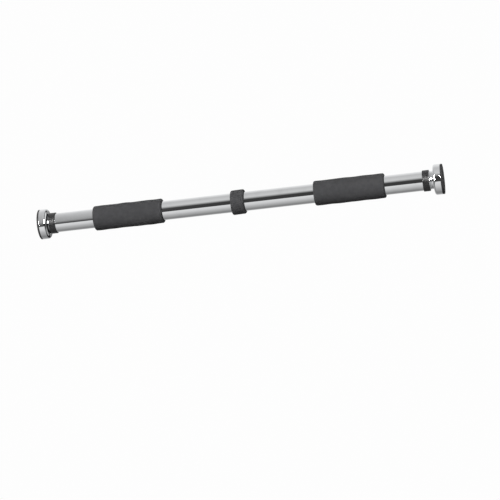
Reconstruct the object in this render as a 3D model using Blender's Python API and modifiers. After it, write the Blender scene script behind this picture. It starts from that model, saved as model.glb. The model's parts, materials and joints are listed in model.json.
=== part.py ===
"""A doorway pull up bar that screws out at both ends to grip the door frame.

Two chromed tubes meet in the middle on a hidden coupling sleeve. Each outer end holds a
threaded nut, and a threaded adjusting tube screws in and out of it. A round foot with a
rubber pad swivels on the end of each adjusting tube. Foam sleeves give the hands a grip.

The bar lies along X, with the middle of its whole length at the origin. The two ends mirror
each other, threads included: a right hand thread at +X and a left hand thread at -X.
A place along the bar is a distance from where the main tubes meet, outwards, with the end
screwed in. It is the same on both sides, and the empties move what is screwed out.
"""

import collections
import math

import bmesh
import bpy

MM = 0.001

# Gaps between pieces
SEAT_GAP = 0.3 * MM  # between two faces that rest on each other, or a press fit
THREAD_GAP = 0.6 * MM  # between the thread of the tube and that of its nut
RUNNING_GAP = 0.4 * MM  # between a hole and what turns or slides in it

# The two main tubes and what joins them
TUBE_OD = 32 * MM
TUBE_WALL = 1.5 * MM
TUBE_LENGTH = 311.5 * MM
COUPLING_LENGTH = 140 * MM
COUPLING_WALL = 3 * MM
SET_SCREW_D = 5 * MM
SET_SCREW_FROM_JOINT = 6.5 * MM
SET_SCREW_SOCKET = 2.5 * MM  # across its flats
SET_SCREW_SOCKET_DEPTH = 2 * MM

# Foam on the tubes
FOAM_THICKNESS = 4.3 * MM
FOAM_END_RADIUS = 3 * MM
GRIP_START = 128 * MM
GRIP_LENGTH = 118 * MM
CENTRE_RING_LENGTH = 23 * MM
FOAM_SHIFT = 1.6 * MM  # towards +X, as the foam was pushed on by hand

# The nut in each tube end, and the collar that caps it
NUT_LENGTH = 30 * MM
NUT_FLANGE = 1.7 * MM
COLLAR_LENGTH = 11 * MM
COLLAR_WALL = 1.2 * MM
COLLAR_LIP = 7.1 * MM  # the part past the nut, which the neck slides into
COLLAR_EDGE_RADIUS = 0.6 * MM

# The adjusting tube and its rolled thread
SCREW_OD = 25 * MM
SCREW_WALL = 1.5 * MM
THREAD_DEPTH = 1.4 * MM
THREAD_PITCH = 8 * MM
THREAD_FADE = 4 * MM  # length over which the thread runs out
TRAVEL = 105 * MM  # how far each end screws out
TRAVEL_SPARE = 5 * MM  # thread left over when it is screwed right out
TAIL_LENGTH = 34 * MM  # plain tube past the inner end of the thread
GUIDE_LENGTH = 12 * MM
NECK_OD = 30 * MM
NECK_LENGTH = 12.4 * MM
NECK_GROOVES = (3.9 * MM, 6.3 * MM)  # from its inner end
NECK_GROOVE_WIDTH = 1.4 * MM
NECK_GROOVE_DEPTH = 0.6 * MM
PLUG_LENGTH = 18 * MM

# The pivot that each foot turns on
PIVOT_D = 8 * MM
PIVOT_HEAD_D = 14 * MM
PIVOT_HEAD_HEIGHT = 3.6 * MM
PIVOT_SOCKET = 5 * MM  # across its flats
PIVOT_SOCKET_DEPTH = 2.2 * MM
THRUST_WASHER = 1.5 * MM
BACKING_WASHER = 1.2 * MM
BACKING_WASHER_D = 20 * MM

# The foot: a pressed steel cup with a rubber pad in its mouth
CUP_OD = 50.5 * MM
CUP_WALL = 1.5 * MM
CUP_FRONT_RISE = 0.6 * MM  # how far the front slopes up from its rim to the dish
CUP_DISH_DEPTH = 5.9 * MM
CUP_DISH_GAP = 0.8 * MM  # round the neck, at the floor of the dish
CUP_DISH_SLOPE = 0.4 * MM  # how much wider the dish is at its mouth
CUP_SHOULDER_RADIUS = 4 * MM
PAD_LIP = 2.8 * MM
PAD_LIP_INSET = 0.3 * MM
PAD_BOSS = 4 * MM
PAD_FLOOR = 3.3 * MM
PAD_POCKET_GAP = 2.5 * MM  # round the head of the pivot screw
PAD_GROOVE_WIDTH = 1.6 * MM
PAD_GROOVE_DEPTH = 0.8 * MM
PAD_GROOVE_RADII = (13 * MM, 19 * MM)

# How far each end is screwed out as the bar stands here
SCREWED_OUT = {"left": 0, "right": 4.8 * MM}

# How finely round shapes are made
ROUND_STEPS = 24
SMALL_ROUND_STEPS = 12
THREAD_STEPS = 16
THREAD_ROWS_PER_PITCH = 5
ARC_STEPS = 2

# Radii that follow from the sizes above
TUBE_R = TUBE_OD / 2
BORE_R = TUBE_R - TUBE_WALL
IN_BORE_R = BORE_R - SEAT_GAP
COUPLING_BORE_R = IN_BORE_R - COUPLING_WALL
SCREW_R = SCREW_OD / 2
SCREW_BORE_R = SCREW_R - THREAD_DEPTH - SCREW_WALL
NUT_BORE_R = SCREW_R + THREAD_GAP
NECK_R = NECK_OD / 2
CUP_R = CUP_OD / 2
PIVOT_HOLE_R = PIVOT_D / 2 + RUNNING_GAP

# Places along the bar that follow from them, from the centre outwards
TUBE_START = SEAT_GAP
TUBE_END = TUBE_START + TUBE_LENGTH
NUT_FLANGE_START = TUBE_END + SEAT_GAP
NUT_END = NUT_FLANGE_START + NUT_FLANGE
NUT_START = NUT_FLANGE_START - NUT_LENGTH
COLLAR_END = NUT_END + SEAT_GAP + COLLAR_LIP
COLLAR_START = COLLAR_END - COLLAR_LENGTH
NECK_START = NUT_END + SEAT_GAP
NECK_END = NECK_START + NECK_LENGTH
THREAD_START = NUT_START - TRAVEL - TRAVEL_SPARE
THREAD_END = NUT_END + THREAD_FADE
SCREW_START = THREAD_START - TAIL_LENGTH
PLUG_START = NECK_END - PLUG_LENGTH
THRUST_START = NECK_END + SEAT_GAP
WEB_START = THRUST_START + THRUST_WASHER + SEAT_GAP
WEB_END = WEB_START + CUP_WALL
CUP_START = WEB_START - CUP_DISH_DEPTH
BACKING_START = WEB_END + SEAT_GAP
HEAD_START = BACKING_START + BACKING_WASHER + SEAT_GAP
HEAD_END = HEAD_START + PIVOT_HEAD_HEIGHT
PAD_END = HEAD_END + SEAT_GAP + PAD_FLOOR
PAD_LIP_START = PAD_END - PAD_LIP
CUP_END = PAD_LIP_START - SEAT_GAP

# One end of the bar: its name, which way along X it points, and what its pieces move with
Side = collections.namedtuple("Side", "name sign carriage screw foot")


def start_empty():
    for old in list(bpy.data.objects):
        bpy.data.objects.remove(old, do_unlink=True)


def new_collection(name):
    made = bpy.data.collections.new(name)
    bpy.context.scene.collection.children.link(made)
    return made


def finish(name, colour, roughness, metallic):
    """A Principled material."""
    made = bpy.data.materials.new(name)
    made.use_nodes = True
    shader = made.node_tree.nodes["Principled BSDF"]
    shader.inputs["Base Color"].default_value = (*colour, 1)
    shader.inputs["Roughness"].default_value = roughness
    shader.inputs["Metallic"].default_value = metallic
    made.diffuse_color = (*colour, 1)
    return made


def axis_empty(name, parent=None):
    """An empty on the bar's axis, for the pieces that move together."""
    made = bpy.data.objects.new(name, None)
    made.parent = parent
    parts.objects.link(made)
    return made


def arc(centre, radius, start, end):
    """Points on an arc between two angles in degrees: 0 is along the bar, 90 away from it."""
    points = []
    for i in range(ARC_STEPS + 1):
        angle = math.radians(start + (end - start) * i / ARC_STEPS)
        along = centre[0] + radius * math.cos(angle)
        outwards = centre[1] + radius * math.sin(angle)
        points.append((along, outwards))
    return points


def sleeve(length, inner, outer):
    """Profile of a plain sleeve that starts at 0."""
    return [(0, outer), (length, outer), (length, inner), (0, inner)]


def foam_sleeve(length):
    """Profile of a foam sleeve on a main tube, with its two outer edges rounded."""
    outer = TUBE_R + SEAT_GAP + FOAM_THICKNESS
    middle = outer - FOAM_END_RADIUS
    return [
        *arc((FOAM_END_RADIUS, middle), FOAM_END_RADIUS, 180, 90),
        *arc((length - FOAM_END_RADIUS, middle), FOAM_END_RADIUS, 90, 0),
        (length, TUBE_R + SEAT_GAP),
        (0, TUBE_R + SEAT_GAP),
    ]


def turned(name, start, profile, side, material, parent, steps=ROUND_STEPS):
    """A piece turned about the bar's axis. Its profile is a list of (distance along, radius),
    outer side first, and its 0 is placed at start. A profile that ends on the axis stays
    open, and any other is closed into a loop."""
    points = [(side.sign * along, 0, radius) for along, radius in profile]
    if side.sign > 0:
        points.reverse()  # so that its faces point outwards
    edges = [(i, i + 1) for i in range(len(points) - 1)]
    if profile[0][1] > 0:
        edges.append((len(points) - 1, 0))
    mesh = bpy.data.meshes.new(name)
    mesh.from_pydata(points, edges, [])
    mesh.materials.append(material)
    made = bpy.data.objects.new(name, mesh)
    made.location = (side.sign * start, 0, 0)
    made.parent = parent
    parts.objects.link(made)
    turn = made.modifiers.new("turn", "SCREW")
    turn.axis = "X"
    turn.steps = steps
    turn.render_steps = steps
    turn.use_merge_vertices = True
    turn.merge_threshold = 0.01 * MM
    return made


def prism(name, radius, depth, sides, place, collection, parent):
    """A round or many sided rod along Z, centred at place."""
    mesh = bpy.data.meshes.new(name)
    shape = bmesh.new()
    bmesh.ops.create_cone(
        shape, cap_ends=True, segments=sides, radius1=radius, radius2=radius, depth=depth
    )
    shape.to_mesh(mesh)
    shape.free()
    made = bpy.data.objects.new(name, mesh)
    made.location = place
    made.parent = parent
    collection.objects.link(made)
    return made


def cutter(name, radius, depth, sides, place, parent):
    made = prism(name, radius, depth, sides, place, cutters, parent)
    made.hide_render = True
    made.display_type = "WIRE"
    return made


def cut(target, tool):
    step = target.modifiers.new(tool.name, "BOOLEAN")
    step.operation = "DIFFERENCE"
    step.solver = "EXACT"
    step.object = tool


def hexagon_radius(across_flats):
    return across_flats / 2 / math.cos(math.radians(30))


def thread_rows(start, end):
    """Distances from start to end, close enough together to carry the thread."""
    count = math.ceil((end - start) / THREAD_PITCH * THREAD_ROWS_PER_PITCH)
    return [start + (end - start) * i / count for i in range(count + 1)]


def roll_thread(made, side, crest_radius, is_threaded, fade_start, fade_end):
    """Presses a rounded helical thread into the vertices whose radius is_threaded accepts.
    The crest follows distance = THREAD_PITCH * turns, so a turn of the adjusting tube moves
    it outwards by one pitch on either side. The depth fades to nothing at the two ends."""
    bpy.context.view_layer.update()
    graph = bpy.context.evaluated_depsgraph_get()
    mesh = bpy.data.meshes.new_from_object(made.evaluated_get(graph))
    made.modifiers.clear()
    made.data = mesh
    for vertex in mesh.vertices:
        radius = math.hypot(vertex.co.y, vertex.co.z)
        if not is_threaded(radius):
            continue
        distance = side.sign * (vertex.co.x + made.location.x)
        from_end = min(distance - fade_start, fade_end - distance)
        strength = max(0, min(1, from_end / THREAD_FADE))
        phase = math.tau * distance / THREAD_PITCH - math.atan2(vertex.co.z, vertex.co.y)
        depth = THREAD_DEPTH * strength * (1 - math.cos(phase)) / 2
        vertex.co.y *= (crest_radius - depth) / radius
        vertex.co.z *= (crest_radius - depth) / radius


def coupling_sleeve():
    """A thick steel sleeve inside both main tubes, tapped for the set screws."""
    return turned(
        "coupling_sleeve",
        -COUPLING_LENGTH / 2,
        sleeve(COUPLING_LENGTH, COUPLING_BORE_R, IN_BORE_R),
        whole_bar,
        zinc,
        bar_axis,
    )


def centre_ring():
    """A foam ring over the joint of the main tubes, which hides the set screws."""
    turned(
        "centre_ring",
        FOAM_SHIFT - CENTRE_RING_LENGTH / 2,
        foam_sleeve(CENTRE_RING_LENGTH),
        whole_bar,
        foam,
        bar_axis,
    )


def main_tube(side, coupling):
    """A chromed tube, with a hole through it and the coupling for its two set screws."""
    tube = turned(
        f"{side.name}_main_tube",
        TUBE_START,
        sleeve(TUBE_LENGTH, BORE_R, TUBE_R),
        side,
        chrome,
        bar_axis,
    )
    drill = cutter(
        f"{side.name}_set_screw_hole",
        SET_SCREW_D / 2 + SEAT_GAP,
        2 * TUBE_OD,
        SMALL_ROUND_STEPS,
        (side.sign * (TUBE_START + SET_SCREW_FROM_JOINT), 0, 0),
        bar_axis,
    )
    cut(tube, drill)
    cut(coupling, drill)


def set_screws(side):
    """Two headless socket screws, above and below, flush with the tube's surface."""
    x = side.sign * (TUBE_START + SET_SCREW_FROM_JOINT)
    top = TUBE_R * math.cos(math.asin(SET_SCREW_D / TUBE_OD))
    length = top - COUPLING_BORE_R
    for place, up in (("upper", 1), ("lower", -1)):
        name = f"{side.name}_{place}_set_screw"
        screw = prism(
            name,
            SET_SCREW_D / 2,
            length,
            SMALL_ROUND_STEPS,
            (x, 0, up * (top - length / 2)),
            parts,
            bar_axis,
        )
        screw.data.materials.append(zinc)
        socket = cutter(
            f"{name}_socket",
            hexagon_radius(SET_SCREW_SOCKET),
            2 * SET_SCREW_SOCKET_DEPTH,
            6,
            (x, 0, up * top),
            bar_axis,
        )
        cut(screw, socket)


def foam_grip(side):
    """A foam sleeve stretched over the main tube."""
    name = f"{side.name}_foam_grip"
    start = GRIP_START + side.sign * FOAM_SHIFT
    turned(name, start, foam_sleeve(GRIP_LENGTH), side, foam, bar_axis)


def thread_nut(side):
    """A threaded steel insert in the tube's end, with a flange against the end itself."""
    length = NUT_LENGTH + NUT_FLANGE
    profile = [
        (0, IN_BORE_R),
        (NUT_LENGTH, IN_BORE_R),
        (NUT_LENGTH, TUBE_R),
        (length, TUBE_R),
        *[(along, NUT_BORE_R) for along in reversed(thread_rows(0, length))],
    ]
    name = f"{side.name}_thread_nut"
    nut = turned(name, NUT_START, profile, side, zinc, bar_axis, THREAD_STEPS)
    halfway = (NUT_BORE_R + IN_BORE_R) / 2
    # No fade: the nut is threaded from face to face
    past_start = NUT_START - THREAD_FADE
    past_end = NUT_END + THREAD_FADE
    roll_thread(nut, side, NUT_BORE_R, lambda r: r < halfway, past_start, past_end)


def end_collar(side):
    """A moulded cap over the tube's end and the nut's flange, with a bore for the neck."""
    edge = TUBE_R + SEAT_GAP + COLLAR_WALL - COLLAR_EDGE_RADIUS
    floor = COLLAR_LENGTH - COLLAR_LIP
    profile = [
        *arc((COLLAR_EDGE_RADIUS, edge), COLLAR_EDGE_RADIUS, 180, 90),
        *arc((COLLAR_LENGTH - COLLAR_EDGE_RADIUS, edge), COLLAR_EDGE_RADIUS, 90, 0),
        (COLLAR_LENGTH, NECK_R + RUNNING_GAP),
        (floor, NECK_R + RUNNING_GAP),
        (floor, TUBE_R + SEAT_GAP),
        (0, TUBE_R + SEAT_GAP),
    ]
    name = f"{side.name}_end_collar"
    turned(name, COLLAR_START, profile, side, collar_plastic, bar_axis)


def adjusting_tube(side):
    """The threaded tube that screws in and out, with a plain tail that stays in the main tube."""
    profile = [
        (SCREW_START, SCREW_R),
        *[(along, SCREW_R) for along in thread_rows(THREAD_START, THREAD_END)],
        (NECK_END, SCREW_R),
        (NECK_END, SCREW_BORE_R),
        (SCREW_START, SCREW_BORE_R),
    ]
    name = f"{side.name}_adjusting_tube"
    tube = turned(name, 0, profile, side, chrome, side.screw, THREAD_STEPS)
    halfway = (SCREW_R + SCREW_BORE_R) / 2
    roll_thread(tube, side, SCREW_R, lambda r: r > halfway, THREAD_START, THREAD_END)


def guide_bush(side):
    """A nylon bush on the tail, which keeps the adjusting tube centred in the main tube."""
    profile = sleeve(GUIDE_LENGTH, SCREW_R + SEAT_GAP, BORE_R - RUNNING_GAP)
    name = f"{side.name}_guide_bush"
    turned(name, SCREW_START, profile, side, nylon, side.screw)


def neck_sleeve(side):
    """A chromed sleeve on the outer end, with V grooves round it. It slides into the collar
    when the bar is screwed in."""
    profile = [(0, NECK_R)]
    for middle in NECK_GROOVES:
        profile += [
            (middle - NECK_GROOVE_WIDTH / 2, NECK_R),
            (middle, NECK_R - NECK_GROOVE_DEPTH),
            (middle + NECK_GROOVE_WIDTH / 2, NECK_R),
        ]
    profile += [
        (NECK_LENGTH, NECK_R),
        (NECK_LENGTH, SCREW_R + SEAT_GAP),
        (0, SCREW_R + SEAT_GAP),
    ]
    turned(f"{side.name}_neck_sleeve", NECK_START, profile, side, chrome, side.screw)


def end_plug(side):
    """A steel plug pressed into the adjusting tube, tapped for the pivot screw."""
    profile = sleeve(PLUG_LENGTH, PIVOT_D / 2 + SEAT_GAP, SCREW_BORE_R - SEAT_GAP)
    turned(f"{side.name}_end_plug", PLUG_START, profile, side, zinc, side.screw)


def pivot_screw(side):
    """A headed screw through the foot into the plug, with a hexagon socket in its head."""
    shank = PIVOT_D / 2
    profile = [
        (PLUG_START, 0),
        (PLUG_START, shank),
        (HEAD_START, shank),
        (HEAD_START, PIVOT_HEAD_D / 2),
        (HEAD_END, PIVOT_HEAD_D / 2),
        (HEAD_END, 0),
    ]
    name = f"{side.name}_pivot_screw"
    screw = turned(name, 0, profile, side, zinc, side.screw)
    socket = cutter(
        f"{name}_socket",
        hexagon_radius(PIVOT_SOCKET),
        2 * PIVOT_SOCKET_DEPTH,
        6,
        (side.sign * HEAD_END, 0, 0),
        side.screw,
    )
    socket.rotation_euler.y = math.radians(90)
    cut(screw, socket)


def thrust_washer(side):
    """A nylon washer that the foot turns against."""
    profile = sleeve(THRUST_WASHER, PIVOT_HOLE_R, NECK_R)
    name = f"{side.name}_thrust_washer"
    turned(name, THRUST_START, profile, side, nylon, side.carriage)


def foot_cup(side):
    """A pressed cup, open towards the door frame, with a dish in its front for the neck.
    The front slopes up a little from the rim to the mouth of the dish."""
    shoulder = (CUP_FRONT_RISE + CUP_SHOULDER_RADIUS, CUP_R - CUP_SHOULDER_RADIUS)
    dish_floor_r = NECK_R + CUP_DISH_GAP
    dish_mouth_r = dish_floor_r + CUP_DISH_SLOPE
    length = CUP_END - CUP_START
    profile = [
        (CUP_DISH_DEPTH, PIVOT_HOLE_R),
        (CUP_DISH_DEPTH, dish_floor_r),
        (0, dish_mouth_r),
        *arc(shoulder, CUP_SHOULDER_RADIUS, 180, 90),
        (length, CUP_R),
        (length, CUP_R - CUP_WALL),
        *arc(shoulder, CUP_SHOULDER_RADIUS - CUP_WALL, 90, 180),
        (CUP_WALL, dish_mouth_r + CUP_WALL),
        (CUP_DISH_DEPTH + CUP_WALL, dish_floor_r + CUP_WALL),
        (CUP_DISH_DEPTH + CUP_WALL, PIVOT_HOLE_R),
    ]
    turned(f"{side.name}_foot_cup", CUP_START, profile, side, chrome, side.foot)


def backing_washer(side):
    """A steel washer between the cup and the head of the pivot screw."""
    profile = sleeve(BACKING_WASHER, PIVOT_HOLE_R, BACKING_WASHER_D / 2)
    turned(f"{side.name}_backing_washer", BACKING_START, profile, side, zinc, side.foot)


def rubber_pad(side):
    """The pad that grips the door frame: a lip over the cup's rim and a boss inside it,
    hollow round the screw's head, with ring shaped grooves in its flat face."""
    boss_r = CUP_R - CUP_WALL - SEAT_GAP
    boss_start = PAD_LIP_START - PAD_BOSS
    pocket_r = max(PIVOT_HEAD_D, BACKING_WASHER_D) / 2 + PAD_POCKET_GAP
    grooves = []
    for middle in reversed(PAD_GROOVE_RADII):
        outer = middle + PAD_GROOVE_WIDTH / 2
        inner = middle - PAD_GROOVE_WIDTH / 2
        bottom = PAD_END - PAD_GROOVE_DEPTH
        grooves += [(PAD_END, outer), (bottom, outer), (bottom, inner), (PAD_END, inner)]
    profile = [
        (PAD_END - PAD_FLOOR, 0),
        (PAD_END - PAD_FLOOR, pocket_r),
        (boss_start, pocket_r),
        (boss_start, boss_r),
        (PAD_LIP_START, boss_r),
        (PAD_LIP_START, CUP_R - PAD_LIP_INSET),
        (PAD_END, CUP_R - PAD_LIP_INSET),
        *grooves,
        (PAD_END, 0),
    ]
    turned(f"{side.name}_rubber_pad", 0, profile, side, rubber, side.foot)


start_empty()
parts = new_collection("pull_up_bar")
cutters = new_collection("cutters")

chrome = finish("chrome", (0.78, 0.79, 0.8), 0.08, 1)
zinc = finish("zinc_plated_steel", (0.62, 0.63, 0.65), 0.3, 1)
foam = finish("foam", (0.075, 0.075, 0.08), 0.9, 0)
collar_plastic = finish("collar_plastic", (0.02, 0.02, 0.022), 0.15, 0)
nylon = finish("nylon", (0.8, 0.79, 0.75), 0.45, 0)
rubber = finish("rubber", (0.03, 0.03, 0.032), 0.75, 0)

bar_axis = axis_empty("bar_axis")
bar_axis.location.x = (SCREWED_OUT["left"] - SCREWED_OUT["right"]) / 2
whole_bar = Side("", 1, None, None, None)
sides = []
for side_name, side_sign in (("left", -1), ("right", 1)):
    carriage = axis_empty(f"{side_name}_carriage_axis", bar_axis)
    carriage.location.x = side_sign * SCREWED_OUT[side_name]
    screw_axis = axis_empty(f"{side_name}_screw_axis", carriage)
    screw_axis.rotation_euler.x = math.tau * SCREWED_OUT[side_name] / THREAD_PITCH
    foot_axis = axis_empty(f"{side_name}_foot_axis", carriage)
    sides.append(Side(side_name, side_sign, carriage, screw_axis, foot_axis))

sleeve_in_both_tubes = coupling_sleeve()
centre_ring()
for bar_side in sides:
    main_tube(bar_side, sleeve_in_both_tubes)
    set_screws(bar_side)
    foam_grip(bar_side)
    thread_nut(bar_side)
    end_collar(bar_side)
    adjusting_tube(bar_side)
    guide_bush(bar_side)
    neck_sleeve(bar_side)
    end_plug(bar_side)
    pivot_screw(bar_side)
    thrust_washer(bar_side)
    foot_cup(bar_side)
    backing_washer(bar_side)
    rubber_pad(bar_side)
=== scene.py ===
import json
import math

import bmesh
import bpy
import numpy as np
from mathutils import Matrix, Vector


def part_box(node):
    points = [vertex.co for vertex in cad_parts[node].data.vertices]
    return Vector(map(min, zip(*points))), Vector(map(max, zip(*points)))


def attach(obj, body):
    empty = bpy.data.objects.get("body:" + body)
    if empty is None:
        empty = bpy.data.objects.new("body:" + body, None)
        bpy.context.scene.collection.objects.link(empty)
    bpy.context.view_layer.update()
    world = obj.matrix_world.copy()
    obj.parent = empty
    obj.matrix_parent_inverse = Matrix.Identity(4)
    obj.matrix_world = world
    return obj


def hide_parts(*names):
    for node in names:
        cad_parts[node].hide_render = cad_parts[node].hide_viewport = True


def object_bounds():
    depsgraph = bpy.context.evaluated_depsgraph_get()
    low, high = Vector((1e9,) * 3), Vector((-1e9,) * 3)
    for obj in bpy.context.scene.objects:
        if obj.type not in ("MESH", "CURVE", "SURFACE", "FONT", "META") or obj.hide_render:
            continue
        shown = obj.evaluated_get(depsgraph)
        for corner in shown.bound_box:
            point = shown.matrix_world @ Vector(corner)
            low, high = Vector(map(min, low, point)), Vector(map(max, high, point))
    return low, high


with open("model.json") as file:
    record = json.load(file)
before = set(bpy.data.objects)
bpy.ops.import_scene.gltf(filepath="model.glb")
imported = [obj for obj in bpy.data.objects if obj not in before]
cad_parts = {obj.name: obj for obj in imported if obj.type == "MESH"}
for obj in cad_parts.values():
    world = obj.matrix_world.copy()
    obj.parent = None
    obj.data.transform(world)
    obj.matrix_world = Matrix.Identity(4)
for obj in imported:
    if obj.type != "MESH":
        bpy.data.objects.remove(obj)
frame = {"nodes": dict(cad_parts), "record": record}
cad_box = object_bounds()
scene = bpy.context.scene


# ---------------------------------------------------------------- camera
# The bar is seen from below and in front, a little from its right, as it hangs in a
# doorway. The aim point lies below and right of the bar's centre.

VIEW_AZIMUTH = math.radians(11)
VIEW_ELEVATION = math.radians(-34.6)
VIEW_DISTANCE = 3.8
LENS_MM = 164.6
AIM_RIGHT = 0.0181
AIM_DOWN = 0.0797

towards_camera = Vector((
    math.sin(VIEW_AZIMUTH) * math.cos(VIEW_ELEVATION),
    -math.cos(VIEW_AZIMUTH) * math.cos(VIEW_ELEVATION),
    math.sin(VIEW_ELEVATION),
))
camera_turn = (-towards_camera).to_track_quat("-Z", "Y")
camera_right = camera_turn @ Vector((1, 0, 0))
camera_up = camera_turn @ Vector((0, 1, 0))
bar_centre = (cad_box[0] + cad_box[1]) / 2
aim = bar_centre + AIM_RIGHT * camera_right - AIM_DOWN * camera_up

camera = bpy.data.objects.new("camera", bpy.data.cameras.new("camera"))
camera.data.lens = LENS_MM
camera.data.clip_end = 100
camera.rotation_mode = "QUATERNION"
camera.rotation_quaternion = camera_turn
camera.location = aim + VIEW_DISTANCE * towards_camera
scene.collection.objects.link(camera)
scene.camera = camera


# ---------------------------------------------------------------- shader expressions

class Field:
    """A socket in a node tree. Arithmetic on fields adds Math nodes to the tree."""

    def __init__(self, socket):
        self.socket = socket
        self.tree = socket.id_data

    def node(self, kind, settings=None, inputs=None, output=0):
        """Any other node: its settings first, then the values or links of its sockets."""
        made = self.tree.nodes.new(kind)
        for key, value in (settings or {}).items():
            if key == "stops":
                set_stops(made.color_ramp, value)
            else:
                setattr(made, key, value)
        for key, value in (inputs or {}).items():
            plug(made.inputs[key], value)
        return Field(made.outputs[output])

    def math(self, operation, *others):
        values = dict(enumerate((self, *others)))
        return self.node("ShaderNodeMath", {"operation": operation}, values)

    def __add__(self, other):
        return self.math("ADD", other)

    def __sub__(self, other):
        return self.math("SUBTRACT", other)

    def __rsub__(self, other):
        return self.node("ShaderNodeMath", {"operation": "SUBTRACT"}, {0: other, 1: self})

    def __mul__(self, other):
        return self.math("MULTIPLY", other)

    def __truediv__(self, other):
        return self.math("DIVIDE", other)

    def __pow__(self, other):
        return self.math("POWER", other)

    __radd__ = __add__
    __rmul__ = __mul__


def plug(socket, value):
    """Links a field to a socket, or sets the socket to a number, a vector or a colour."""
    if isinstance(value, Field):
        socket.id_data.links.new(value.socket, socket)
    elif isinstance(value, tuple) and len(value) == 3 and len(socket.default_value) == 4:
        socket.default_value = (*value, 1)
    else:
        socket.default_value = value


def set_stops(ramp, stops):
    """Gives a colour ramp its stops, each a place from 0 to 1 and a grey or a colour."""
    while len(ramp.elements) < len(stops):
        ramp.elements.new(1)
    for element, (place, shade) in zip(ramp.elements, stops):
        element.position = place
        element.color = (*shade, 1) if isinstance(shade, tuple) else (shade, shade, shade, 1)


# ---------------------------------------------------------------- light and floor
# A pale floor and an even, pale backdrop. Two soft lights fall on the matte pieces, while
# polished metal mirrors a room of its own, which the camera does not see.

FLOOR_Z = -2.6
FLOOR_HALF = 40.0
BACKDROP_GREY = 0.985
# Brightness of what metal mirrors, by elevation in degrees: a white sweep up to 50 degrees
# below the bar, a dark gap, then walls that grow lighter up to the ceiling. They are given
# in front of the bar towards its left, in front towards its right, and behind it.
LEFT_STOPS = ((-90, 0.65), (-53, 0.85), (-50, 0.07), (-40, 0.1), (-20, 0.4), (20, 0.5),
              (60, 0.65), (90, 0.85))
RIGHT_STOPS = ((-90, 0.65), (-53, 0.85), (-50, 0.05), (-15, 0.05), (12, 0.7), (60, 0.6),
               (90, 0.85))
BACK_STOPS = ((-90, 0.65), (-70, 0.5), (-33, 0.25), (-5, 0.35), (30, 1.0), (90, 0.85))
# Light that falls on matte surfaces: most of it from the front, a little below the bar, and
# some from above and behind. Each light is a direction and a brightness.
SOFT_LIGHTS = (((0, -0.93, -0.37), 4.6), ((0, 0.71, 0.71), 4.5))
SOFT_FOCUS = 6
SOFT_AMBIENT = 0.04
# Places along the bar are given as the sine of the angle from straight ahead. The left and
# right parts of the front meet here.
MEETING = -0.208
# A stretch to the right is dimmer, and its far part is dark. The front of the left foot and
# its rounded shoulder show them.
DIM_START, DARK_START, DIM_END = 0.12, 0.37, 0.57
DIM_STOPS = ((-90, 0.4), (-40, 0.02), (26, 0.05), (37, 0.3), (46, 0.62), (60, 0.55), (90, 0.5))
DARK_DEPTH = 0.93
# Half the width over which one part of the room turns into the next
BACK_BLEND = 0.2
FINE_BLEND = 0.02
DIM_BLEND = 0.06
EDGE_BLEND = 0.05
# Two lit windows in front, one on each side, that only rounded and satin surfaces pick up
WINDOW_LOW, WINDOW_HIGH = -0.46, -0.04  # sine of the elevation
WINDOW_MIDDLE = -0.16
WINDOW_NEAR, WINDOW_FAR = 0.21, 0.4  # how far each one starts and ends from the middle
LEFT_WINDOW, RIGHT_WINDOW = 360.0, 150.0  # brightness


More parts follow.
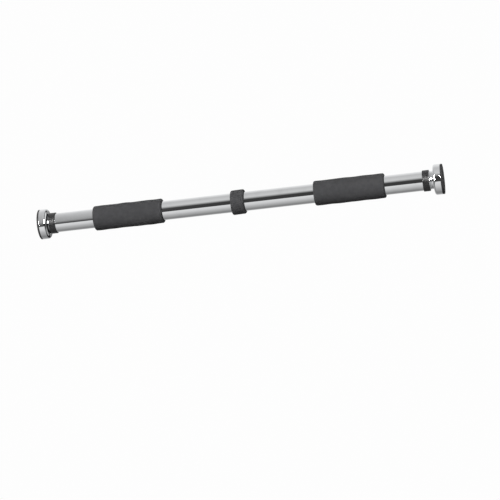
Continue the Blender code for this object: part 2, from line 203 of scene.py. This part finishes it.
def build_world():
    world = bpy.data.worlds.new("studio")
    world.use_nodes = True
    tree = world.node_tree
    tree.nodes.clear()
    direction = Field(tree.nodes.new("ShaderNodeTexCoord").outputs["Generated"])
    sideways = direction.node("ShaderNodeSeparateXYZ", None, {0: direction}, 0)
    backwards = direction.node("ShaderNodeSeparateXYZ", None, {0: direction}, 1)
    upwards = direction.node("ShaderNodeSeparateXYZ", None, {0: direction}, 2)
    elevation = upwards.math("ARCSINE") / math.pi + 0.5

    def by_elevation(stops):
        places = [((angle + 90) / 180, grey) for angle, grey in stops]
        return elevation.node("ShaderNodeValToRGB", {"stops": places}, {0: elevation})

    def soft_step(value, place, width):
        """0 below the place and 1 above it, with a smooth rise twice as wide as the width."""
        return value.node("ShaderNodeMapRange", {"interpolation_type": "SMOOTHSTEP"},
                          {"Value": value, "From Min": place - width, "From Max": place + width})

    def blend(mask, first, second):
        return mask.node("ShaderNodeMix", {"data_type": "RGBA"}, {0: mask, 6: first, 7: second}, 2)

    def soft_light(towards, brightness):
        """The cosine of the angle to the light, to a power, times its brightness."""
        facing = direction.node("ShaderNodeVectorMath", {"operation": "DOT_PRODUCT"},
                                {0: direction, 1: towards}, 1)
        return brightness * facing.math("MAXIMUM", 0) ** SOFT_FOCUS

    behind = soft_step(backwards, 0, BACK_BLEND)
    front = blend(soft_step(sideways, MEETING, FINE_BLEND), by_elevation(LEFT_STOPS),
                  by_elevation(RIGHT_STOPS))
    middle_room = blend(behind, front, by_elevation(BACK_STOPS))
    dark = soft_step(sideways, DARK_START, DIM_BLEND) * DARK_DEPTH
    dim = blend(dark, by_elevation(DIM_STOPS), (0.0, 0.0, 0.0))
    beside = (soft_step(sideways, DIM_START, DIM_BLEND)
              * (1 - soft_step(sideways, DIM_END, EDGE_BLEND)))
    room = blend(beside, middle_room, dim)
    off_middle = (sideways - WINDOW_MIDDLE).math("ABSOLUTE")
    in_window = (
        soft_step(upwards, WINDOW_LOW, EDGE_BLEND)
        * (1 - soft_step(upwards, WINDOW_HIGH, EDGE_BLEND))
        * soft_step(off_middle, WINDOW_NEAR, FINE_BLEND)
        * (1 - soft_step(off_middle, WINDOW_FAR, EDGE_BLEND))
        * (1 - behind)
    )
    windows = blend(soft_step(sideways, WINDOW_MIDDLE, FINE_BLEND), (LEFT_WINDOW,) * 3,
                    (RIGHT_WINDOW,) * 3)
    mirrored = blend(in_window, room, windows)
    soft = SOFT_AMBIENT + sum(soft_light(*light) for light in SOFT_LIGHTS)
    ray = tree.nodes.new("ShaderNodeLightPath")
    lit = blend(Field(ray.outputs["Is Diffuse Ray"]), mirrored, soft)
    seen = blend(Field(ray.outputs["Is Camera Ray"]), lit, (BACKDROP_GREY,) * 3)
    surface = direction.node("ShaderNodeBackground", None, {"Color": seen})
    output = tree.nodes.new("ShaderNodeOutputWorld")
    tree.links.new(surface.socket, output.inputs["Surface"])
    scene.world = world


def build_floor():
    """One square of pale floor, far under the bar. Metal mirrors the white sweep instead."""
    mesh = bpy.data.meshes.new("floor")
    corners = [(x * FLOOR_HALF, y * FLOOR_HALF, FLOOR_Z) for x, y in
               ((-1, -1), (1, -1), (1, 1), (-1, 1))]
    mesh.from_pydata(corners, [], [(0, 1, 2, 3)])
    floor = bpy.data.objects.new("floor", mesh)
    scene.collection.objects.link(floor)
    floor.visible_glossy = False
    floor.visible_diffuse = False
    paint = bpy.data.materials.new("pale_floor")
    paint.use_nodes = True
    shader = paint.node_tree.nodes["Principled BSDF"]
    place = Field(paint.node_tree.nodes.new("ShaderNodeTexCoord").outputs["Object"])
    cloud = place.node("ShaderNodeTexNoise", None, {"Vector": place, "Scale": 1.5})
    shade = place.node("ShaderNodeMix", {"data_type": "RGBA"},
                       {0: cloud, 6: (0.77, 0.77, 0.76), 7: (0.81, 0.81, 0.8)}, 2)
    plug(shader.inputs["Base Color"], shade)
    plug(shader.inputs["Roughness"], 0.9)
    mesh.materials.append(paint)


build_world()
build_floor()
scene.view_settings.view_transform = "Standard"


# ---------------------------------------------------------------- main tubes
# Two lengths of 32 mm steel tube, drawn smooth, cut square with the edges broken, polished
# and chrome plated. They meet end to end under the centre ring.

SIDES = (("left", -1), ("right", 1))
EDGE_BREAK = 0.0003
TUBE_WALL = 0.0015
middle = (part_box("left_main_tube")[1].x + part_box("right_main_tube")[0].x) / 2


def span(node, sign):
    """Where a CAD node starts and ends, as distances outwards from where the main tubes meet,
    and its radius."""
    low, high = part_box(node)
    start, end = sorted((sign * (low.x - middle), sign * (high.x - middle)))
    return start, end, high.z


def rounded(corners, closed=True, steps=6):
    """A profile from corners (distance, radius, fillet). Each corner becomes an arc that leaves
    the incoming side at the fillet times tan(half the turn) before the corner, and follows
    sin(a) along that side and 1 - cos(a) across it. A point is added on both sides of the
    arc, so that the flats beside it stay flat when they are shaded."""
    points = np.array([corner[:2] for corner in corners], float)
    path = []
    for i, (_, _, fillet) in enumerate(corners):
        if not closed and i in (0, len(corners) - 1):
            path.append(points[i][None])
            continue
        before = points[i] - points[i - 1]
        after = points[(i + 1) % len(points)] - points[i]
        before /= np.linalg.norm(before)
        after /= np.linalg.norm(after)
        turn = math.acos(np.clip(before @ after, -1, 1))
        across = after - (after @ before) * before
        across /= max(np.linalg.norm(across), 1e-9)
        setback = fillet * math.tan(turn / 2)
        angle = np.linspace(0, turn, steps + 1)[:, None]
        start = points[i] - setback * before
        bend = start + fillet * (np.sin(angle) * before + (1 - np.cos(angle)) * across)
        hold = 0.4 * fillet
        path += [start[None] - hold * before, bend, bend[-1:] + hold * after]
    return np.concatenate(path)


def surface(name, grid, closed=True):
    """A mesh from a grid of points (rows, columns, 3). The columns always wrap round, and the
    rows do if closed. Rows that end on the axis are welded into a pole."""
    rows, columns = grid.shape[:2]
    i, j = np.meshgrid(np.arange(rows if closed else rows - 1), np.arange(columns), indexing="ij")
    below, beside = (i + 1) % rows, (j + 1) % columns
    faces = np.stack([i * columns + j, below * columns + j, below * columns + beside,
                      i * columns + beside], -1).reshape(-1, 4)
    points = grid.reshape(-1, 3)
    a, b, c, d = (points[faces[:, k]] for k in range(4))
    if (np.cross(c - a, d - b) * (a + c)).sum() < 0:  # the volume it encloses, with a sign
        faces = faces[:, ::-1]
    mesh = bpy.data.meshes.new(name)
    mesh.from_pydata(points.tolist(), [], faces.tolist())
    if not closed:
        weld_poles(mesh)
    mesh.shade_smooth()
    made = bpy.data.objects.new(name, mesh)
    scene.collection.objects.link(made)
    return made


def weld_poles(mesh):
    shape = bmesh.new()
    shape.from_mesh(mesh)
    bmesh.ops.remove_doubles(shape, verts=shape.verts, dist=1e-7)
    shape.to_mesh(mesh)
    shape.free()


def around_bar(distance, angle, radius, sign):
    """Points about the bar: x is the distance with the side's sign, from where the main tubes
    meet, and y and z are the radius times the cosine and sine of the angle."""
    x = middle + sign * distance + 0 * angle
    return np.stack([x, radius * np.cos(angle), radius * np.sin(angle)], -1)


def turned(name, profile, sign, around=160, closed=True):
    """A profile of distances and radii turned once about the bar."""
    angle = np.linspace(0, 2 * np.pi, around, endpoint=False)
    distance, radius = (column[:, None] for column in profile.T)
    return surface(name, around_bar(distance, angle, radius, sign), closed)


def sleeve_profile(start, end, inner, outer, fillet=EDGE_BREAK):
    return rounded([(start, outer, fillet), (end, outer, fillet), (end, inner, fillet),
                    (start, inner, fillet)])


def dress(piece, finish, body, slot, *nodes):
    """Gives a piece its finish and body, and hides the CAD nodes that it stands for. The slot is not
    used.
    """
    piece.data.materials.append(finish)
    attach(piece, body)
    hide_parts(*nodes)


def new_finish(name, colour, roughness, metallic=0.0, **constants):
    """A Principled material, and the object coordinates that its patterns read."""
    made = bpy.data.materials.new(name)
    made.use_nodes = True
    shader = made.node_tree.nodes["Principled BSDF"]
    plug(shader.inputs["Base Color"], colour)
    plug(shader.inputs["Roughness"], roughness)
    plug(shader.inputs["Metallic"], metallic)
    for key, value in constants.items():
        plug(shader.inputs[key.replace("_", " ")], value)
    place = Field(made.node_tree.nodes.new("ShaderNodeTexCoord").outputs["Object"])
    return made, shader, place


def stretched(place, scale):
    """Coordinates multiplied by a factor for each axis."""
    return place.node("ShaderNodeMapping", None, {"Vector": place, "Scale": scale})


def noise(place, scale, detail=2.0, roughness=0.5):
    """Soft noise from 0 to 1, with cells of 1 / scale metres."""
    return place.node("ShaderNodeTexNoise", None,
                      {"Vector": place, "Scale": scale, "Detail": detail, "Roughness": roughness})


def remap(value, low, high, to_low=0.0, to_high=1.0):
    """A value carried from one range to another, and kept inside it."""
    return value.node("ShaderNodeMapRange", None, {"Value": value, "From Min": low,
                      "From Max": high, "To Min": to_low, "To Max": to_high})


def colours(mask, dark, light):
    """A colour between two, by a mask from 0 to 1."""
    return mask.node("ShaderNodeMix", {"data_type": "RGBA"}, {0: mask, 6: dark, 7: light}, 2)


def bump(height, distance, strength=1.0):
    return height.node("ShaderNodeBump", None,
                       {"Strength": strength, "Distance": distance, "Height": height})


def chrome_finish():
    """Chrome plate: a bright mirror with buffing haze round the tube, faint lengthways draw
    marks, a few soft smudges and a very slight ripple in the metal under it."""
    made, shader, place = new_finish("chrome", (0.8, 0.81, 0.82), 0.05, 1.0)
    buffing = noise(stretched(place, (900, 60, 60)), 1, 3)
    draw_marks = noise(stretched(place, (9, 500, 500)), 1, 2)
    smudge = remap(noise(place, 38, 3, 0.6), 0.52, 0.74)
    haze = noise(place, 9, 2)
    roughness = 0.03 + 0.025 * buffing + 0.015 * draw_marks + 0.03 * smudge * haze
    plug(shader.inputs["Roughness"], roughness)
    tint = remap(smudge * 0.6 + haze * 0.4, 0, 1)
    plug(shader.inputs["Base Color"], colours(tint, (0.83, 0.84, 0.85), (0.74, 0.75, 0.76)))
    ripple = noise(stretched(place, (12, 30, 30)), 1, 1)
    height = ripple * 0.9 + draw_marks * 0.03 + buffing * 0.02
    plug(shader.inputs["Normal"], bump(height, 0.00003))
    return made


chrome = chrome_finish()

for side, sign in SIDES:
    tube_start, tube_end, tube_r = span(f"{side}_main_tube", sign)
    tube = turned(f"{side}_polished_tube",
                  sleeve_profile(tube_start, tube_end, tube_r - TUBE_WALL, tube_r), sign)
    dress(tube, chrome, "bar", "chrome", f"{side}_main_tube")


# ---------------------------------------------------------------- foam grips and centre ring
# Sleeves of closed-cell rubber foam, extruded, cut to length with softly rounded ends and
# stretched over the tube. The narrow one in the middle hides where the tubes meet.

FOAM_ROUNDING = 0.003
FOAM_GRID_STEP = 0.0009
FOAM_AROUND = 220
FOAM_SAG = 0.00022
random = np.random.default_rng(7)


def soft_waves(distance, angle, count, shortest):
    """Smooth unevenness of about unit size: a sum of cosine waves over the distance along the
    bar and a whole number of turns round it, with random phases."""
    total = np.zeros(np.broadcast(distance, angle).shape)
    for _ in range(count):
        length = shortest * random.uniform(1, 5)
        turns = random.integers(0, 5)
        phase = random.uniform(0, 2 * np.pi)
        total += np.cos(2 * np.pi * distance / length + turns * angle + phase)
    return total / math.sqrt(count)


def foam_sleeve(name, start, end, inner, outer, sign):
    """A rounded sleeve whose outer radius is uneven by a fraction of a millimetre: the radius of
    each profile point plus waves, scaled by how far out the point lies."""
    corners = rounded([(start, outer, FOAM_ROUNDING), (end, outer, FOAM_ROUNDING),
                       (end, inner, EDGE_BREAK), (start, inner, EDGE_BREAK)], steps=10)
    lengths = np.linalg.norm(np.roll(corners, -1, 0) - corners, axis=1)
    counts = np.maximum(1, (lengths / FOAM_GRID_STEP).astype(int))
    profile = np.concatenate([
        corners[k] + (corners[(k + 1) % len(corners)] - corners[k])
        * np.linspace(0, 1, counts[k], endpoint=False)[:, None]
        for k in range(len(corners))
    ])
    angle = np.linspace(0, 2 * np.pi, FOAM_AROUND, endpoint=False)
    distance, radius = (column[:, None] for column in profile.T)
    outwards = np.clip((radius - inner) / (outer - inner), 0, 1)
    uneven = FOAM_SAG * outwards * soft_waves(distance, angle, 9, 0.018)
    return surface(name, around_bar(distance, angle, radius + uneven, sign))


def foam_finish():
    """Foam with a fine pebbled skin: small cells, larger mottling, and a matte surface."""
    made, shader, place = new_finish("foam", (0.048, 0.048, 0.05), 0.9)
    plug(shader.inputs["Specular IOR Level"], 0.06)
    plug(shader.inputs["Sheen Weight"], 0.03)
    plug(shader.inputs["Sheen Roughness"], 0.6)
    cells = place.node("ShaderNodeTexVoronoi", None, {"Vector": place, "Scale": 900})
    grain = noise(place, 1400, 3)
    mottle = noise(place, 130, 4, 0.65)
    patches = noise(place, 28, 2)
    shade = remap(mottle * 0.55 + patches * 0.2 + grain * 0.25, 0.3, 0.7)
    plug(shader.inputs["Base Color"], colours(shade, (0.037, 0.037, 0.039), (0.06, 0.06, 0.062)))
    plug(shader.inputs["Roughness"], remap(grain, 0.3, 0.7, 0.82, 0.98))
    height = cells * 0.6 + grain * 0.5 + mottle * 0.8
    plug(shader.inputs["Normal"], bump(height, 0.00015, 0.7))
    return made


foam = foam_finish()


def foam_piece(name, node, sign):
    start, end, outer = span(node, sign)
    piece = foam_sleeve(name, start, end, tube_r + EDGE_BREAK / 3, outer, sign)
    dress(piece, foam, "bar", "foam", node)


foam_piece("foam_centre_ring", "centre_ring", 1)
for side, sign in SIDES:
    foam_piece(f"{side}_foam_sleeve", f"{side}_foam_grip", sign)


# ---------------------------------------------------------------- end collars
# Injection moulded caps in satin black plastic, pushed over the tube ends. The outer part
# of each has a bore that the neck slides into.

COLLAR_LIP = 0.0071
COLLAR_ROUNDING = 0.0006
COLLAR_GAP = 0.0004


def satin_finish():
    """Satin moulded plastic: black, with the faint orange peel of the mould and fine dust."""
    made, shader, place = new_finish("satin_black", (0.012, 0.012, 0.013), 0.42)
    plug(shader.inputs["Specular IOR Level"], 0.6)
    peel = noise(place, 420, 2)
    wear = remap(noise(place, 150, 4, 0.7), 0.55, 0.8)
    plug(shader.inputs["Roughness"], 0.38 + 0.07 * peel + 0.15 * wear)
    plug(shader.inputs["Base Color"], colours(wear, (0.010, 0.010, 0.011), (0.035, 0.035, 0.036)))
    plug(shader.inputs["Normal"], bump(peel, 0.00004))
    return made


satin_black = satin_finish()

for side, sign in SIDES:
    start, end, outer = span(f"{side}_end_collar", sign)
    bore = span(f"{side}_neck_sleeve", sign)[2] + COLLAR_GAP
    mouth = tube_r + EDGE_BREAK / 3
    profile = rounded([
        (start, outer, COLLAR_ROUNDING), (end, outer, COLLAR_ROUNDING), (end, bore, COLLAR_ROUNDING),
        (end - COLLAR_LIP, bore, EDGE_BREAK), (end - COLLAR_LIP, mouth, EDGE_BREAK),
        (start, mouth, EDGE_BREAK),
    ])
    collar = turned(f"{side}_collar_moulding", profile, sign)
    dress(collar, satin_black, "bar", "collar_plastic", f"{side}_end_collar")


# ---------------------------------------------------------------- adjusting tubes and necks
# The threaded tubes screw in and out of the main tubes. Their round-bottomed thread is
# rolled into the wall, right handed at one end and left handed at the other. A chromed
# sleeve with two turned grooves is pressed on the outer end, where the foot turns.

THREAD_DEPTH = 0.0014
THREAD_STEP = 0.0004
THREAD_AROUND = 72
THREAD_FADE = 0.004
THREAD_SQUARENESS = 1.5
THREAD_TAIL = 0.034
SCREW_WALL = 0.0015
NECK_ROUNDING = 0.0005
NECK_GROOVES = (0.0039, 0.0063)
GROOVE_WIDTH = 0.0014
GROOVE_DEPTH = 0.0006
THREAD_PAST_NECK = 0.0037  # how far the thread runs on under the neck
thread_pitch = 2 * math.pi / frame["record"]["behaviour"]["couplings"][0]["ratio"]


def thread_drop(distance, angle):
    """How far the surface lies under the crest, 0 to 1. The crest runs where distance over
    pitch equals the turns made, and the wave is squared up a little by a hyperbolic tangent."""
    wave = np.cos(2 * np.pi * distance / thread_pitch - angle)
    square = np.tanh(THREAD_SQUARENESS * wave) / math.tanh(THREAD_SQUARENESS)
    return (1 - square) / 2


def rolled_screw(name, start, end, thread_start, thread_end, outer, sign):
    """A tube whose outer radius is the crest's less the depth of the thread, fading out at the
    thread's two ends, and whose bore is plain."""
    bore = outer - THREAD_DEPTH - SCREW_WALL
    count = int((end - start) / THREAD_STEP)
    along = np.linspace(start + EDGE_BREAK, end - EDGE_BREAK, count)
    outside = np.stack([along, np.full(count, outer)], -1)
    ends = np.array([[end, outer - EDGE_BREAK], [end, bore], [start, bore],
                     [start, outer - EDGE_BREAK]])
    distance, radius = (column[:, None] for column in np.concatenate([outside, ends]).T)
    angle = np.linspace(0, 2 * np.pi, THREAD_AROUND, endpoint=False)
    from_end = np.minimum(distance - thread_start, thread_end - distance)
    strength = np.clip(from_end / THREAD_FADE, 0, 1)
    strength = strength * strength * (3 - 2 * strength) * (radius > outer - EDGE_BREAK / 2)
    grown = radius - THREAD_DEPTH * strength * thread_drop(distance, angle)
    return surface(name, around_bar(distance, angle, grown, sign))


for side, sign in SIDES:
    screw_start, screw_end, screw_r = span(f"{side}_adjusting_tube", sign)
    neck_start, neck_end, neck_r = span(f"{side}_neck_sleeve", sign)
    screw = rolled_screw(f"{side}_rolled_screw", screw_start, screw_end,
                         screw_start + THREAD_TAIL, neck_start + THREAD_PAST_NECK, screw_r, sign)
    dress(screw, chrome, f"{side}_screw", "chrome", f"{side}_adjusting_tube")
    neck_bore = screw_r + EDGE_BREAK / 3
    grooves = []
    for place in NECK_GROOVES:
        bottom = neck_start + place
        grooves += [(bottom - GROOVE_WIDTH / 2, neck_r, 0.0002),
                    (bottom, neck_r - GROOVE_DEPTH, 0.0002),
                    (bottom + GROOVE_WIDTH / 2, neck_r, 0.0002)]
    profile = rounded([
        (neck_start, neck_r, NECK_ROUNDING), *grooves, (neck_end, neck_r, NECK_ROUNDING),
        (neck_end, neck_bore, EDGE_BREAK), (neck_start, neck_bore, EDGE_BREAK),
    ])
    neck = turned(f"{side}_polished_neck", profile, sign)
    dress(neck, chrome, f"{side}_screw", "chrome", f"{side}_neck_sleeve")


# ---------------------------------------------------------------- foot cups
# Each foot is a cup pressed from sheet steel and chrome plated. Its rim is straight, its
# front is rounded at the shoulder, and a deep dish in it takes the end of the neck.

CUP_WALL = 0.0015
CUP_SHOULDER = 0.004
CUP_FRONT_RISE = 0.0006
CUP_DISH_DEPTH = 0.0059
CUP_DISH_GAP = 0.0008
CUP_DISH_SLOPE = 0.0004
CUP_HOLE = 0.0044

for side, sign in SIDES:
    cup_start, cup_end, cup_r = span(f"{side}_foot_cup", sign)
    neck_r = span(f"{side}_neck_sleeve", sign)[2]
    floor_r = neck_r + CUP_DISH_GAP
    mouth_r = floor_r + CUP_DISH_SLOPE
    floor = cup_start + CUP_DISH_DEPTH
    shoulder = cup_start + CUP_FRONT_RISE
    profile = rounded([
        (floor, CUP_HOLE, 0.0002), (floor, floor_r, 0.0006), (cup_start, mouth_r, 0.0008),
        (shoulder, cup_r, CUP_SHOULDER), (cup_end, cup_r, 0.0004),
        (cup_end, cup_r - CUP_WALL, 0.0004),
        (shoulder + CUP_WALL, cup_r - CUP_WALL, CUP_SHOULDER - CUP_WALL),
        (cup_start + CUP_WALL, mouth_r + CUP_WALL, 0.0004),
        (floor + CUP_WALL, floor_r + CUP_WALL, 0.0009), (floor + CUP_WALL, CUP_HOLE, 0.0002),
    ], steps=10)
    cup = turned(f"{side}_pressed_cup", profile, sign, around=200)
    dress(cup, chrome, f"{side}_foot", "chrome", f"{side}_foot_cup")


# ---------------------------------------------------------------- rubber pads
# Moulded rubber discs that grip the door frame. A lip covers the cup's rim, a boss fills
# its mouth, and the flat face has two ring grooves with short ribs outside them.

PAD_LIP = 0.0028
PAD_BOSS = 0.004
PAD_FLOOR = 0.0033
PAD_POCKET_R = 0.0125
PAD_BOSS_INSET = 0.0018
PAD_GROOVE_WIDTH = 0.0016
PAD_GROOVE_DEPTH = 0.0008
PAD_GROOVES = (0.019, 0.013)
PAD_RIBS = 48
PAD_RIB_DEPTH = 0.0004
PAD_RIB_ROWS = 8


def rubber_finish():
    """Moulded rubber: matte black with a fine sparkle, dust and scuffs on the face."""
    made, shader, place = new_finish("pad_rubber", (0.03, 0.03, 0.03), 0.75)
    grain = noise(place, 1500, 3)
    dust = remap(noise(place, 110, 4, 0.7), 0.5, 0.8)
    plug(shader.inputs["Base Color"], colours(dust, (0.022, 0.022, 0.023), (0.06, 0.059, 0.057)))
    plug(shader.inputs["Roughness"], 0.6 + 0.25 * grain)
    plug(shader.inputs["Normal"], bump(grain + dust * 0.5, 0.0002, 0.6))
    return made


pad_rubber = rubber_finish()


def tread_pad(name, start, end, outer, cup_outer, sign):
    """A disc with a hollow back. Outside its grooves the face is pressed in between the ribs,
    by a cosine round the disc times a half sine from the rim to the outer groove."""
    boss_r = cup_outer - PAD_BOSS_INSET
    lip = end - PAD_LIP
    bottom = end - PAD_GROOVE_DEPTH
    ribbed_to = PAD_GROOVES[0] + PAD_GROOVE_WIDTH
    ribbed_from = outer - 0.0015
    face = [(end, outer, 0.0006)]
    face += [(end, radius, 0) for radius in np.linspace(ribbed_from, ribbed_to, PAD_RIB_ROWS)]
    for centre in PAD_GROOVES:
        wide, narrow = centre + PAD_GROOVE_WIDTH / 2, centre - PAD_GROOVE_WIDTH / 2
        face += [(end, wide, 0.0002), (bottom, wide, 0.0002), (bottom, narrow, 0.0002),
                 (end, narrow, 0.0002)]
    profile = rounded([
        (end - PAD_FLOOR, 0, 0), (end - PAD_FLOOR, PAD_POCKET_R, 0.0003),
        (lip - PAD_BOSS, PAD_POCKET_R, 0.0003), (lip - PAD_BOSS, boss_r, 0.0005),
        (lip, boss_r, 0.0002), (lip, outer, 0.0004), *face, (end, 0, 0),
    ], closed=False, steps=5)
    angle = np.linspace(0, 2 * np.pi, PAD_RIBS * 8, endpoint=False)
    distance, radius = (column[:, None] for column in profile.T)
    across = np.clip((radius - ribbed_to) / (ribbed_from - ribbed_to), 0, 1)
    on_face = np.abs(distance - end) < 1e-6
    between = np.sin(np.pi * across) * (0.5 - 0.5 * np.cos(PAD_RIBS * angle))
    pressed = distance - PAD_RIB_DEPTH * on_face * between
    return surface(name, around_bar(pressed, angle, radius, sign), closed=False)


for side, sign in SIDES:
    start, end, outer = span(f"{side}_rubber_pad", sign)
    cup_r = span(f"{side}_foot_cup", sign)[2]
    pad = tread_pad(f"{side}_tread_pad", start, end, outer, cup_r, sign)
    dress(pad, pad_rubber, f"{side}_foot", "pad_rubber", f"{side}_rubber_pad")


# ---------------------------------------------------------------- hidden hardware
# The nuts, plugs, screws and washers inside are zinc plated steel, and the bush and the
# slip washer are natural nylon. Their CAD shapes stay, with finishes of their own.

def zinc_finish():
    """Zinc plate: satin grey with a faint spangle and turning marks."""
    made, shader, place = new_finish("zinc_plate", (0.6, 0.61, 0.63), 0.3, 1.0)
    spangle = noise(place, 260, 3)
    turning = noise(stretched(place, (2500, 200, 200)), 1, 2)
    plug(shader.inputs["Base Color"], colours(spangle, (0.5, 0.51, 0.53), (0.68, 0.69, 0.7)))
    plug(shader.inputs["Roughness"], 0.22 + 0.12 * spangle + 0.1 * turning)
    plug(shader.inputs["Normal"], bump(turning, 0.00003))
    return made


def nylon_finish():
    """Natural nylon: warm off-white, slightly waxy, with a soft grain."""
    made, shader, place = new_finish("nylon", (0.8, 0.78, 0.72), 0.45)
    plug(shader.inputs["Subsurface Weight"], 0.1)
    grain = noise(place, 500, 3)
    plug(shader.inputs["Base Color"], colours(grain, (0.72, 0.7, 0.64), (0.84, 0.82, 0.77)))
    plug(shader.inputs["Roughness"], 0.35 + 0.2 * grain)
    plug(shader.inputs["Normal"], bump(grain, 0.00004))
    return made


def refinish(node, finish):
    """Puts a finish on a CAD node that is shown as it is."""
    slots = frame["nodes"][node].data.materials
    slots.clear()
    slots.append(finish)


zinc_plate = zinc_finish()
nylon = nylon_finish()
refinish("coupling_sleeve", zinc_plate)
for side, sign in SIDES:
    for part in ("thread_nut", "end_plug", "pivot_screw", "backing_washer", "upper_set_screw",
                 "lower_set_screw"):
        refinish(f"{side}_{part}", zinc_plate)
    for part in ("guide_bush", "thrust_washer"):
        refinish(f"{side}_{part}", nylon)
